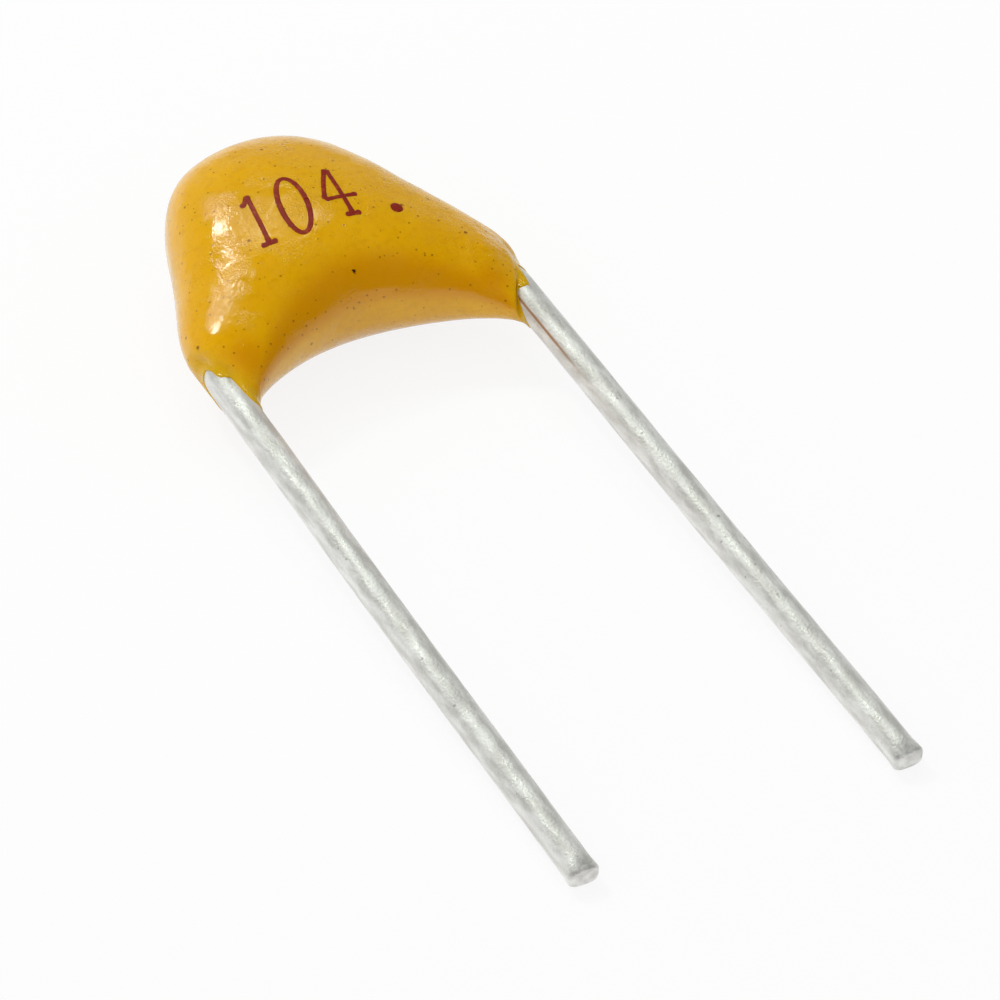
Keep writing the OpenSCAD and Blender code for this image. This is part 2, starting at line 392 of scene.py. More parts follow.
@dataclass(frozen=True)
class Lead:
    """One tinned wire, from its cut end to the block.

    Attributes:
        side: Left or right.
        free: Length from the pitch line to the cut end.
        splay: Outward lean in degrees.
        kink: Height above the pitch line at which it starts to bend inwards.
        lean: Lean of its inward run in degrees.
        bow: How far the straight bends outwards in its middle.
        seed: Seed of the dents in its tin.
        stain: A painted reflection of the orange body, a brown line down it, if any.
        sizes: Sizes that both leads share.
    """

    side: Side
    free: float
    splay: float
    kink: float
    lean: float
    bow: float
    seed: int
    stain: PaintedReflectionLine | None = None
    sizes: LeadSizes = LeadSizes()

    @property
    def node(self) -> str:
        """Name of the CAD node that it stands for."""
        return f"{self.side.name.lower()}_lead"

    def kink_from(self) -> Array:
        """Where the straight ends and the bend starts."""
        drift = self.kink * math.tan(math.radians(self.splay))
        return np.array([self.sizes.pitch / 2 - drift, self.kink])

    def run(self) -> tuple[Array, Array]:
        """Both ends of the straight that runs in towards the block."""
        s = self.sizes
        low = self.kink_from() + s.bend_r * (at_angle(self.lean) - at_angle(self.splay))
        seat = s.block_half + s.seat_gap + s.radius + self.side.value * s.block_x
        x = seat + s.bend_r * (1 - math.cos(math.radians(self.lean)))
        return low, np.array([x, low[1] + (low[0] - x) / math.tan(math.radians(self.lean))])

    @cached_property
    def centreline(self) -> Array:
        """Points up the middle of the wire, drawn as a right lead.

        A straight from the cut end, an arc inwards through the kink angle, a
        straight towards the block, an arc back and a straight up its end.
        The long straight is bowed by a squared sine of its share.

        Returns:
            The points, one a row, in even steps.
        """
        s = self.sizes
        tip = np.array([s.pitch / 2, 0.0]) - self.free * at_angle(90 + self.splay)
        inwards = at_angle(np.linspace(self.splay, self.lean, s.arc_points))
        bend_in = self.kink_from() + s.bend_r * (inwards - inwards[0])
        back = at_angle(np.linspace(180 + self.lean, 180, s.arc_points))
        bend_back = self.run()[1] + s.bend_r * (back - back[0])
        line = np.vstack([tip, bend_in, bend_back, [bend_back[-1, 0], s.seat_top]])
        line = even_steps(line, int(lengths(line)[-1] / s.step))
        share = np.clip((line[:, 1] - tip[1]) / (self.kink - tip[1]), 0, 1)
        line[:, 0] += self.bow * np.sin(math.pi * share) ** 2
        return line

    def skin(self) -> Array:
        """Grid of the wire's surface.

        A ring of the wire's radius goes along the centreline.  Near the cut
        end its width and thickness change smoothly to those of the squeezed
        end, and the section turns from a circle into a superellipse.  Soft
        waves dent the tin inwards only.

        Returns:
            Array of rings by points by 3, in device millimetres.
        """
        s = self.sizes
        line = self.centreline
        way = unit(np.gradient(line, axis=0))
        cut = 1 - smooth(np.arange(len(line)) * s.step / s.pinch_len)[:, None]
        wide = s.radius + (s.pinch_w / 2 - s.radius) * cut
        thick = s.radius + (s.pinch_t / 2 - s.radius) * cut
        a = np.linspace(0, 2 * math.pi, s.round_points, endpoint=False)
        power = 2 / (2 + s.pinch_power * cut)
        across = wide * sign_power(np.cos(a), power)
        through = thick * sign_power(np.sin(a), power)
        x = line[:, :1] + way[:, 1:] * across
        y = line[:, 1:] - way[:, :1] * across
        grid = np.stack([x, y, through], -1)
        middle = np.pad(line, ((0, 0), (0, 1)))[:, None]
        stretched = grid * [1.0, s.dent_stretch, 1.0]
        dents = sum(w * waves(stretched, pitch, self.seed + n) for pitch, w, n in s.dents)
        depth = s.dent_depth * (s.dent_most + np.clip(dents, -s.dent_most, s.dent_most))
        grid = middle + (grid - middle) * (1 - depth / s.radius)[..., None]
        return self.close_ends(grid, middle, np.pad(way, ((0, 0), (0, 1))))

    def close_ends(self, grid: Array, middle: Array, way: Array) -> Array:
        """Adds the end faces: rings that shrink to the middle.

        The cut end is a little domed, and the upper one is flat.

        Args:
            grid: The rings of the wire.
            middle: Middles of the rings.
            way: Direction of the wire at each ring.

        Returns:
            The rings with both faces added.
        """
        s = self.sizes
        shrink = np.array(s.face_shrink)[:, None, None]
        cut_face = middle[0] + (grid[0] - middle[0]) * shrink
        cut_face += way[0] * np.array(s.face_sink)[:, None, None]
        top_face = middle[-1] + (grid[-1] - middle[-1]) * shrink
        grid[:2] += way[0] * np.array(s.rim_slide)[:, None, None]
        return np.concatenate([cut_face[::-1], grid, top_face])

    def build(self, device: DeviceFrame, finish: "Tin") -> Piece:
        """Makes the wire, dresses it and puts it in the place of its CAD node.

        Args:
            device: Where the device plane lies.
            finish: Finish of the wire.

        Returns:
            The piece.
        """
        grid = self.skin() * [self.side.value, 1.0, 1.0]
        # The mark is a painted reflection of the orange body: a brown line down the wire.
        stain = self.stain.on(grid) if self.stain else np.zeros(grid.shape[:2])
        tube = np.dstack([grid, stain])
        piece = put_tubes(f"{self.node}_wire", device, [tube], ("stain",))
        finish.dress(piece)
        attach(piece, BODY)
        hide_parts(self.node)
        return piece


# --- coating


@dataclass(frozen=True)
class Neck:
    """How the coating closes round one wire.

    Attributes:
        end: Ring angles and the heights at which the coating ends there.  0
            is the wire's outer side, 90 its front, 180 its inner side and
            270 its back.
        front: Share of the half at which the front and back have left the
            wire.
        film: How thick the skin has grown where it leaves the wire.
        inner_from: Ring angle from which it leaves the wire at once.
        side: Share of the half at which the sides have left the wire.
        inner_turn: Change of the angle's cosine over which the outer side's
            way of leaving turns into the inner side's.
    """

    end: tuple[Pair, ...]
    front: float
    film: float
    inner_from: float
    side: float = 0.09
    inner_turn: float = 0.5

    def share(self, f: Array, a: Array) -> Array:
        """How far the skin has left the wire: 0 on it and 1 on the body.

        The share of the half at which it has left goes from the sides' to
        the front's with the squared sine of the angle.  On the outer side it
        leaves smoothly, and on the inner side at once, as one minus the
        squared rest.

        Args:
            f: Share of the half, 0 at the wire.
            a: Ring angles.

        Returns:
            The share for each f and a.
        """
        t = f / (self.side + (self.front - self.side) * np.sin(a) ** 2)
        inner_cos = math.cos(math.radians(self.inner_from))
        inner = smooth((inner_cos - np.cos(a)) / self.inner_turn)
        return smooth(t) * (1 - inner) + (1 - (1 - np.clip(t, 0, 1)) ** 2) * inner


LEFT_NECK = Neck(front=0.14, film=0.05, inner_from=60.0, end=(
    (0, 1.04), (20, 1.08), (32, 1.09), (40, 1.07), (54, 0.98), (62, 0.84), (70, 0.77),
    (80, 0.75), (92, 0.71), (100, 0.68), (104, 0.56), (110, 0.35), (116, 0.22), (126, 0.1),
    (150, 0.04), (180, 0.0), (210, 0.06), (240, 0.15), (270, 0.3), (300, 0.42), (318, 0.48),
    (328, 0.58), (336, 0.95), (348, 1.02),
))
RIGHT_NECK = Neck(front=0.34, film=0.03, inner_from=0.0, end=(
    (0, 0.95), (30, 1.0), (55, 1.05), (62, 1.0), (72, 0.77), (80, 0.58), (86, 0.54),
    (92, 0.57), (100, 0.56), (114, 0.58), (132, 0.57), (142, 0.49), (148, 0.4), (178, 0.17),
    (200, 0.06), (210, 0.04), (240, 0.1), (270, 0.28), (300, 0.5), (330, 0.8),
))


@dataclass(frozen=True)
class Swell:
    """A bell-shaped rise of the skin, or a dent where rise is below zero."""

    middle: Triple
    reach: Triple
    rise: float
    wrinkle: float = 0.0


@dataclass(frozen=True)
class CoatedBody:
    """The dipped epoxy skin, closed round each wire by a rounded lip."""

    left: Lead
    right: Lead
    film: float = 0.03
    edge_film: float = 0.014
    outer_y: float = 1.0
    inner_y: float = -0.04
    rise: float = 0.25
    rise_rate: float = 8.0
    edge_share: float = 0.11
    crown_y: float = 5.15
    crown_reach: float = 1.1
    corner: Pair = (2.8, 1.53)
    shoulder: Pair = (1.86, 3.67)
    shoulder_reach: float = 0.94
    arch_y: float = 1.19
    arch_reach: float = 0.77
    arch_rise: float = 0.62
    half_t: float = 1.21
    middle_round: float = 0.25
    power: float = 2.35
    power_rate: float = 3.0
    crown_lean: float = -0.27
    ridge_h: float = 0.05
    ridge_w: float = 0.3
    ridge_fade: float = 0.8
    ridge_rate: float = 4.0
    lip_turns: tuple[float, ...] = (88, 70, 50, 30, 14)
    lip_drop: float = 0.028
    lip_bite: float = 0.012
    root_bite: float = 0.06
    root_rise: float = 0.02
    stations: int = 150
    ring_points: int = 220
    curve_points: int = 60
    thin_from: float = 0.8
    calm_from: float = 0.93
    sink: float = 0.016
    unevenness: tuple[tuple[float, float, int, int], ...] = (
        (0.010, 1.9, 3, 10),
        (0.0035, 0.7, 4, 10),
        (0.0012, 0.25, 5, 16),
    )
    wrinkle_pitch: float = 0.17
    swells: tuple[Swell, ...] = (
        Swell((2.3, 1.35, 0.4), (0.5, 0.4, 0.5), 0.03, 0.012),
        Swell((-2.3, 2.7, 0.5), (0.55, 0.7, 0.8), -0.05),
        Swell((-2.62, 1.45, 0.4), (0.28, 0.4, 0.4), 0.035),
    )
    # Spots of painted shade beside where the wires leave the coating.
    deep_spots: tuple[tuple[Triple, Triple], ...] = (
        ((-2.15, 0.8, 0.35), (0.38, 0.38, 0.38)),
        ((2.0, 0.75, 0.35), (0.3, 0.3, 0.3)),
    )
    burnt_spot: Pair = (0.03, 1.5)

    @property
    def exit_r(self) -> float:
        """Radius of the coating where it ends on a wire."""
        return self.left.sizes.radius + self.film

    def outer_line(self) -> Array:
        """Outline from a lead's outer side over corner and shoulder to the crown.

        Returns:
            Three Bezier curves as even steps.
        """
        leave = np.array([self.left.sizes.pitch / 2 + self.exit_r, self.outer_y])
        corner, shoulder = np.array(self.corner), np.array(self.shoulder)
        crown = np.array([0.0, self.crown_y])
        flank = shoulder - corner
        flank_way = unit(flank)
        corner_way = unit(flank_way + [0, 1])
        foot = np.linalg.norm(corner - leave) / 2
        third = np.linalg.norm(flank) / 3
        reach = flank_way * self.shoulder_reach
        curves = (
            (leave, leave + [0, foot], corner - corner_way * foot, corner),
            (corner, corner + corner_way * third, shoulder - flank_way * third, shoulder),
            (shoulder, shoulder + reach, crown + [self.crown_reach, 0], crown),
        )
        parts = [leave[None]] + [bezier(np.array(c), self.curve_points) for c in curves]
        return even_steps(np.vstack(parts), self.stations)

    def arch_line(self) -> Array:
        """Outline from a lead's inner side to the middle of the arch: one Bezier curve."""
        leave = np.array([self.left.sizes.pitch / 2 - self.exit_r, self.inner_y])
        top = np.array([0.0, self.arch_y])
        curve = (leave, leave + [0, self.arch_rise], top + [self.arch_reach, 0], top)
        parts = [leave[None], bezier(np.array(curve), 90)]
        return even_steps(np.vstack(parts), self.stations)

    def ridge(self, x: Array, y: Array, lead: Lead) -> Array:
        """How near a point is to the wire's inward run: 1 on it, 0 far off.

        Args:
            x: Distance from the middle.
            y: Height.
            lead: The wire under it.

        Returns:
            A bell curve of the distance from the straight run, which fades
            towards the run's upper end.
        """
        low, high = lead.run()
        run = high - low
        t = np.clip(((x - low[0]) * run[0] + (y - low[1]) * run[1]) / (run @ run), 0, 1)
        off = np.hypot(x - low[0] - run[0] * t, y - low[1] - run[1] * t)
        return np.exp(-((off / self.ridge_w) ** 2)) * (1 - self.ridge_fade * t)

    def on_wire(self, lead: Lead, y: Array, a: Array, r: Array) -> Array:
        """Points of a tube round a wire's middle.

        At height y the tube is cut level, so where the wire leans the cut is
        stretched across by the root of one plus the lean squared.

        Args:
            lead: The wire.
            y: Heights.
            a: Ring angles.
            r: The tube's radius at each point.

        Returns:
            The points, drawn as a right half.
        """
        across, up = lead.centreline.T
        slope = np.interp(y, up, np.gradient(across, up))
        middle = np.interp(y, up, across)
        return np.stack([middle + r * np.cos(a) * np.hypot(1, slope), y, r * np.sin(a)], -1)

    def half(self, lead: Lead, neck: Neck) -> Array:
        """Grid of one half, from its wire to the middle.

        A point's place across is the middle of the two outlines plus half
        their distance times the cosine of the ring angle, and its height is
        the half thickness times the sine, each raised to the superellipse's
        power.  The half thickness rises in a straight line and is rounded
        off by a hyperbola.  At the wire the edge follows the neck's heights,
        and the skin is drawn in to a film round the wire's own bend.

        Args:
            lead: The wire.
            neck: How the coating closes round it.

        Returns:
            Array of stations by ring points by 3.
        """
        f = np.linspace(0, 1, self.stations + 1)[:, None]
        a = np.linspace(0, 2 * math.pi, self.ring_points, endpoint=False)[None]
        outer, arch = self.outer_line()[:, None], self.arch_line()[:, None]
        middle, reach = (outer + arch) / 2, (outer - arch) / 2
        p = 2 / (2 + (self.power - 2) * smooth(self.power_rate * f))
        across = sign_power(np.cos(a), p)
        x, y = (middle[..., k] + reach[..., k] * across for k in (0, 1))
        soft = np.sqrt((1 - f) ** 2 + self.middle_round**2)
        soft_from = math.hypot(1, self.middle_round)
        grown = (soft_from - soft) / (soft_from - self.middle_round)
        thick = self.exit_r + (self.half_t - self.exit_r) * grown
        thick = thick + self.ridge_h * self.ridge(x, y, lead) * smooth(self.ridge_rate * f)
        z = thick * sign_power(np.sin(a), p)
        y = y + self.rise * z / self.exit_r * (1 - smooth(self.rise_rate * f))
        angles, heights = np.array(neck.end).T
        edge = np.interp(np.degrees(a), angles, heights, period=360)
        y = y + (edge - y[:1]) * (1 - smooth(f / self.edge_share))
        share = neck.share(f, a)
        film = lead.sizes.radius + self.edge_film + neck.film * share
        drawn_in = self.on_wire(lead, y, a, film)
        return drawn_in + (np.stack([x, y, z], -1) - drawn_in) * share[..., None]

    def onto_side(self, grid: Array, side: Side) -> Array:
        """Mirrors a right half for its side and pushes the crown sideways."""
        x, y = side.value * grid[..., 0], grid[..., 1]
        x = x + self.crown_lean * smooth((y - self.outer_y) / (self.crown_y - self.outer_y))
        return np.stack([x, y, grid[..., 2]], -1)

    def lip(self, ring: Array, lead: Lead) -> Array:
        """Rings that round the coating off onto its wire.

        A quarter turn: the ring's distance from the wire's middle falls with
        the cosine and its drop grows with the sine, and the first ring lies
        inside the wire.

        Args:
            ring: The coating's last ring, drawn as a right one.
            lead: The wire.

        Returns:
            The rings, from inside the wire out to the last ring.
        """
        turn = np.radians(self.lip_turns)[:, None]
        a = np.linspace(0, 2 * math.pi, self.ring_points, endpoint=False)
        least = lead.sizes.radius - self.lip_bite
        reach = least + (self.edge_film + self.lip_bite) * np.cos(turn)
        reach = np.vstack([[[least - self.root_bite]], reach])
        drop = np.vstack([[[-self.root_rise]], self.lip_drop * np.sin(turn)])
        return self.on_wire(lead, ring[:, 1] - drop, a, reach)

    def relief(self, body: Array) -> Array:
        """Height of the skin's unevenness: soft waves, and the local swells."""
        rise = sum(h * waves(body, pitch, *draw) for h, pitch, *draw in self.unevenness)
        wrinkles = np.clip(waves(body, self.wrinkle_pitch, 6, 12), -0.5, 1.0)
        for s in self.swells:
            rise = rise + (s.rise + s.wrinkle * wrinkles) * bell(body, s.middle, s.reach)
        return rise - self.sink

    @cached_property
    def skin(self) -> Array:
        """The whole surface with its unevenness.

        Returns:
            Array of rings by points by five columns: x, y and z, then thin,
            which is 1 on the wires and 0 on the body, and deep, a painted
            shade, which is 1 where the skin faces down and to the front (over
            the arch) and in spots beside the wires, and 0 on the rest.
        """
        left, right = self.half(self.left, LEFT_NECK), self.half(self.right, RIGHT_NECK)
        start = self.onto_side(self.lip(left[0], self.left), Side.LEFT)
        end = self.onto_side(self.lip(right[0], self.right), Side.RIGHT)[::-1]
        left, right = self.onto_side(left, Side.LEFT), self.onto_side(right, Side.RIGHT)
        body = np.concatenate([left, right[::-1][1:]])
        normals = grid_normals(body)
        f = np.abs(np.linspace(-1, 1, len(body)))[:, None]
        thin = smooth((f - self.thin_from) / (1 - self.thin_from)) * np.ones(self.ring_points)
        calm = 1 - smooth((f - self.calm_from) / (1 - self.calm_from))
        body = body + normals * (self.relief(body) * calm)[..., None]
        # Painted shade: a darker orange where the skin faces down and to the front, and in spots
        # beside the wires.
        faces_down = smooth((-0.3 - normals[..., 1]) / 0.45)
        faces_front = smooth((normals[..., 2] + 0.05) / 0.5)
        spots = [bell(body, middle, reach) for middle, reach in self.deep_spots]
        deep = np.maximum.reduce([faces_down * faces_front, *spots])
        marks = np.pad(
            np.dstack([thin, deep]), ((len(start), len(end)), (0, 0), (0, 0)), mode="edge"
        )
        return np.dstack([np.concatenate([start, body, end]), marks])

    def build(self, device: DeviceFrame, finish: "DippedEpoxy") -> Piece:
        """Makes the coating and puts it in the place of its CAD node.

        Args:
            device: Where the device plane lies.
            finish: Finish of the coating.

        Returns:
            The piece.
        """
        # The last column marks painted shade.
        piece = put_tubes("epoxy_skin", device, [self.skin], ("thin", "deep"))
        spot, _ = self.front(np.array([self.burnt_spot]))
        finish.dress(piece, device.place(spot)[0])
        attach(piece, BODY)
        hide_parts("epoxy_coating")
        return piece

    def front(self, flat: Array) -> tuple[Array, Array]:
        """Points of the front face above points of the device plane.

        The nearest grid point's tangent plane gives the height.

        Args:
            flat: Points of the plane, one a row.

        Returns:
            The points on the face and their normals.
        """
        grid = self.skin[..., :3]
        normals = grid_normals(grid).reshape(-1, 3)
        grid = grid.reshape(-1, 3)
        normals *= np.sign(normals[grid[:, 2].argmax(), 2])
        on_face = (normals[:, 2] > 0.2) & (grid[:, 2] > 0.3)
        grid, normals = grid[on_face], normals[on_face]
        best = ((flat[:, None] - grid[None, :, :2]) ** 2).sum(-1).argmin(1)
        base, n = grid[best], normals[best]
        z = base[:, 2] - (n[:, :2] * (flat - base[:, :2])).sum(1) / n[:, 2]
        return np.column_stack([flat, z]), n


# --- marking


@dataclass(frozen=True)
class PrintedCode:
    """A plain three-digit number and a dot, printed on the front face.

    Attributes:
        strokes: Open pen strokes, each through three points.
        knob: How much wider a stroke is near its ends, as a share.
        oval_w: Half width of the zero's line.
        oval_swell: How much wider that line is at its sides, as a share.
    """

    strokes: tuple[tuple[Pair, Pair, Pair], ...] = (
        ((-1.06, 3.18), (-0.97, 3.24), (-0.88, 3.35)),
        ((-0.885, 3.36), (-0.94, 2.85), (-0.995, 2.35)),
        ((-1.13, 2.36), (-0.995, 2.34), (-0.86, 2.34)),
        ((0.46, 3.36), (0.3, 3.08), (0.14, 2.72)),
        ((0.14, 2.71), (0.4, 2.7), (0.68, 2.69)),
        ((0.475, 3.35), (0.45, 2.85), (0.425, 2.33)),
        ((0.3, 2.34), (0.425, 2.32), (0.56, 2.32)),
    )
    stroke_w: float = 0.074
    knob: float = 0.3
    knob_reach: float = 0.05
    oval_middle: Pair = (-0.34, 2.83)
    oval_half: Pair = (0.215, 0.56)
    oval_lean: float = 8.0
    oval_w: float = 0.037
    oval_swell: float = 0.16
    dot: Pair = (1.15, 2.27)
    dot_r: float = 0.1
    raised: float = 0.003
    sunk: float = 0.02
    ragged: float = 0.004
    ragged_pitch: float = 0.05
    ragged_seed: int = 21

    def outlines(self) -> list[tuple[Array, Array]]:
        """Middles and half widths of all strokes, of the zero and of the dot.

        Returns:
            For each its points and the ink's half width there.
        """
        found = []
        for stroke in self.strokes:
            curve = even_steps(self.through(np.array(stroke)), 44)
            found.append((curve, self.swell(curve, self.stroke_w / 2)))
        a = np.linspace(0, 2 * math.pi, 97)
        lean = math.tan(math.radians(self.oval_lean))
        x, y = self.oval_half[0] * np.cos(a), self.oval_half[1] * np.sin(a)
        oval = np.stack([self.oval_middle[0] + x + lean * y, self.oval_middle[1] + y], -1)
        found.append((oval, self.oval_w * (1 + self.oval_swell * np.abs(np.cos(a)))))
        t = np.linspace(-1, 1, 24)
        line = np.array(self.dot) + np.stack([t * self.dot_r, 0 * t], -1)
        found.append((line, self.dot_r * np.sqrt(np.clip(1 - t * t, 0, 1)) + 1e-4))
        return found

    def through(self, points: Array) -> Array:
        """Smooth curve through three points: a parabola by Lagrange's weights."""
        t = np.linspace(0, 1, 30)[:, None]
        return np.hstack([(2 * t - 1) * (t - 1), 4 * t * (1 - t), t * (2 * t - 1)]) @ points

    def swell(self, line: Array, half: float) -> Array:
        """Half width along an open stroke: round ends with a small knob."""
        at = np.linspace(0, lengths(line)[-1], len(line))
        end = np.minimum(at, at[-1] - at)
        knob = half * (1 + self.knob * np.exp(-(((end - half) / self.knob_reach) ** 2)))
        return knob * np.sqrt(1 - (1 - np.clip(end / half, 0.02, 1)) ** 2)

    def build(self, device: DeviceFrame, body: CoatedBody, finish: "Ink") -> Piece:
        """Makes the ink and lays it on the coating.

        Each stroke is a flat ring of points carried along its line, with the
        upper half raised over the face and the lower half sunk into it.

        Args:
            device: Where the device plane lies.
            body: The coating that carries the ink.
            finish: Finish of the ink.

        Returns:
            The piece.
        """
        v = np.linspace(-1, 1, 7)
        ring_v = np.concatenate([v, v[::-1]])
        lift = np.concatenate([self.raised * (1 - 0.5 * v**4), np.full(7, -self.sunk)])
        tubes = []
        for line, half in self.outlines():
            way = unit(np.gradient(line, axis=0))
            side = np.stack([-way[:, 1], way[:, 0]], -1)[:, None]
            flat = line[:, None] + side * (half[:, None] * ring_v)[..., None]
            spread = np.pad(flat, ((0, 0), (0, 0), (0, 1)))
            rough = self.ragged * waves(spread, self.ragged_pitch, self.ragged_seed)
            flat = flat + side * (rough * ring_v)[..., None]
            face, normals = body.front(flat.reshape(-1, 2))
            tube = face.reshape(*flat.shape[:2], 3)
            tubes.append(tube + normals.reshape(tube.shape) * lift[None, :, None])
        piece = put_tubes("printed_code", device, tubes)
        finish.dress(piece)
        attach(piece, BODY)
        return piece


# --- finishes


def linear(red: int, green: int, blue: int) -> Colour:
    """Screen colour, 0 to 255 each, as Blender's linear colour."""
    v = np.array([red, green, blue]) / 255
    low, high = v / 12.92, ((v + 0.055) / 1.055) ** 2.4
    return (*np.where(v <= 0.04045, low, high).tolist(), 1.0)


@dataclass(frozen=True)
class Pattern:
    """Noise of a pitch in millimetres, whose band is mapped smoothly to a span."""

    pitch: float
    detail: float
    band: Pair
    span: Pair = (0.0, 1.0)


@dataclass(frozen=True)
class Specks:
    """Sparse round specks.

    Attributes:
        cell: Size of the cells of their Voronoi pattern in millimetres.
        radius: Radius of the largest in millimetres.
        share: Share of the cells that have one.
        edge: Share of the radius over which they fade out.
    """

    cell: float
    radius: float
    share: float
    strength: float
    edge: float = 0.45


class NodeSheet:
    """A node tree, with short calls to add and join its nodes."""

    def __init__(self, holder: bpy.types.Material | bpy.types.World) -> None:
        """Takes over the node tree of a material or world."""
        holder.use_nodes = True
        self.nodes = holder.node_tree.nodes
        self.links = holder.node_tree.links

    def feed(self, node: Node, key: str | int, value: object) -> None:
        """Joins an output to a node's input, or sets a constant there."""
        if isinstance(value, Socket):
            self.links.new(value, node.inputs[key])
        else:
            node.inputs[key].default_value = value

    def add(self, kind: str, *inputs: object, **settings: object) -> Node:
        """Adds a node.

        Args:
            kind: Blender's name of the node.
            inputs: Outputs or constants for its first inputs, in order.
            settings: Properties; a name with an underscore in front is an
                input, with spaces written as underscores.

        Returns:
            The node.
        """
        node = self.nodes.new(kind)
        for key, value in settings.items():
            if key.startswith("_"):
                self.feed(node, key[1:].replace("_", " "), value)
            else:
                setattr(node, key, value)
        for key, value in enumerate(inputs):
            self.feed(node, key, value)
        return node

    def math(self, kind: str, *values: Socket | float) -> Socket:
        """A Math node on its two or three numbers."""
        return self.add("ShaderNodeMath", *values, operation=kind).outputs[0]

    def ramp(self, source: Socket, low: float, high: float, start: float, end: float) -> Socket:
        """Smoothly maps low..high of a number to start..end."""
        values = (source, low, high, start, end)
        node = self.add("ShaderNodeMapRange", *values, interpolation_type="SMOOTHSTEP")
        return node.outputs["Result"]

    def mix(self, share: Socket, low: Node, high: Node) -> Node:
        """Mixes two shaders by a share."""
        return self.add("ShaderNodeMixShader", share, low.outputs[0], high.outputs[0])

    def rays(self, *kinds: str) -> Socket:
        """1 for rays of the given kinds, and 0 for the rest."""
        path = self.add("ShaderNodeLightPath")
        last = path.outputs[f"Is {kinds[0]} Ray"]
        for kind in kinds[1:]:
            last = self.math("MAXIMUM", last, path.outputs[f"Is {kind} Ray"])
        return last


class Paint(NodeSheet):
    """A material round a Principled shader, with patterns to dress it."""

    def __init__(self, name: str) -> None:
        """Starts a material of that name."""
        self.material = bpy.data.materials.new(name)
        super().__init__(self.material)
        self.shader = self.nodes["Principled BSDF"]
        self.place = self.add("ShaderNodeTexCoord").outputs["Object"]

    def set(self, **values: object) -> None:
        """Feeds the shader's own inputs."""
        for key, value in values.items():
            self.feed(self.shader, key.replace("_", " "), value)

    def stretched(self, scale: Triple) -> Socket:
        """Object coordinates times a scale for each axis."""
        return self.add("ShaderNodeMapping", self.place, _Scale=scale).outputs["Vector"]

    def noise(self, pitch: float, detail: float = 2.0, at: Socket | None = None) -> Socket:
        """Noise whose blobs are about pitch millimetres across."""
        scale = 1 / (pitch * MM)
        node = self.add(
            "ShaderNodeTexNoise", _Vector=at or self.place, _Scale=scale, _Detail=detail
        )
        return node.outputs["Fac"]

    def pattern(self, look: Pattern, at: Socket | None = None) -> Socket:
        """Noise mapped to its range."""
        return self.ramp(self.noise(look.pitch, look.detail, at), *look.band, *look.span)

    def mark(self, name: str) -> Socket:
        """A point attribute of the mesh."""
        return self.add("ShaderNodeAttribute", attribute_name=name).outputs["Fac"]

    def blend(self, share: Socket, low: Socket | Colour, high: Socket | Colour) -> Socket:
        """Mixes two colours by a share that varies over the surface."""
        node = self.add("ShaderNodeMix", share, data_type="RGBA")
        self.feed(node, 6, low)
        self.feed(node, 7, high)
        return node.outputs[2]

    def specks(self, look: Specks) -> Socket:
        """Sparse round specks, 0 outside.

        The points of a Voronoi pattern lie in space, and those within reach
        of the surface show as specks.  A point's own random number decides
        whether it shows, and how big.

        Args:
            look: Their sizes.

        Returns:
            How strongly they cover each place.
        """
        node = self.add("ShaderNodeTexVoronoi", self.place, _Scale=1 / (look.cell * MM))
        split = self.add("ShaderNodeSeparateColor", node.outputs["Color"])
        size = self.ramp(split.outputs[0], 1 - look.share, 1.0, 0.0, look.radius / look.cell)
        inside = self.math("SUBTRACT", size, node.outputs["Distance"])
        inside = self.ramp(inside, 0.0, look.edge * look.radius / look.cell, 0.0, 1.0)
        return self.math("MULTIPLY", inside, look.strength)

    def bump(self, height: Socket, rise: float) -> None:
        """Adds a bump of rise millimetres on top of any that is there."""
        node = self.add("ShaderNodeBump", _Height=height, _Strength=1.0, _Distance=rise * MM)
        before = self.shader.inputs["Normal"]
        if before.is_linked:
            self.feed(node, "Normal", before.links[0].from_socket)
        self.set(Normal=node.outputs["Normal"])

    def put_on(self, piece: Piece) -> None:
        """Makes this the piece's only material."""
        piece.data.materials.clear()
        piece.data.materials.append(self.material)


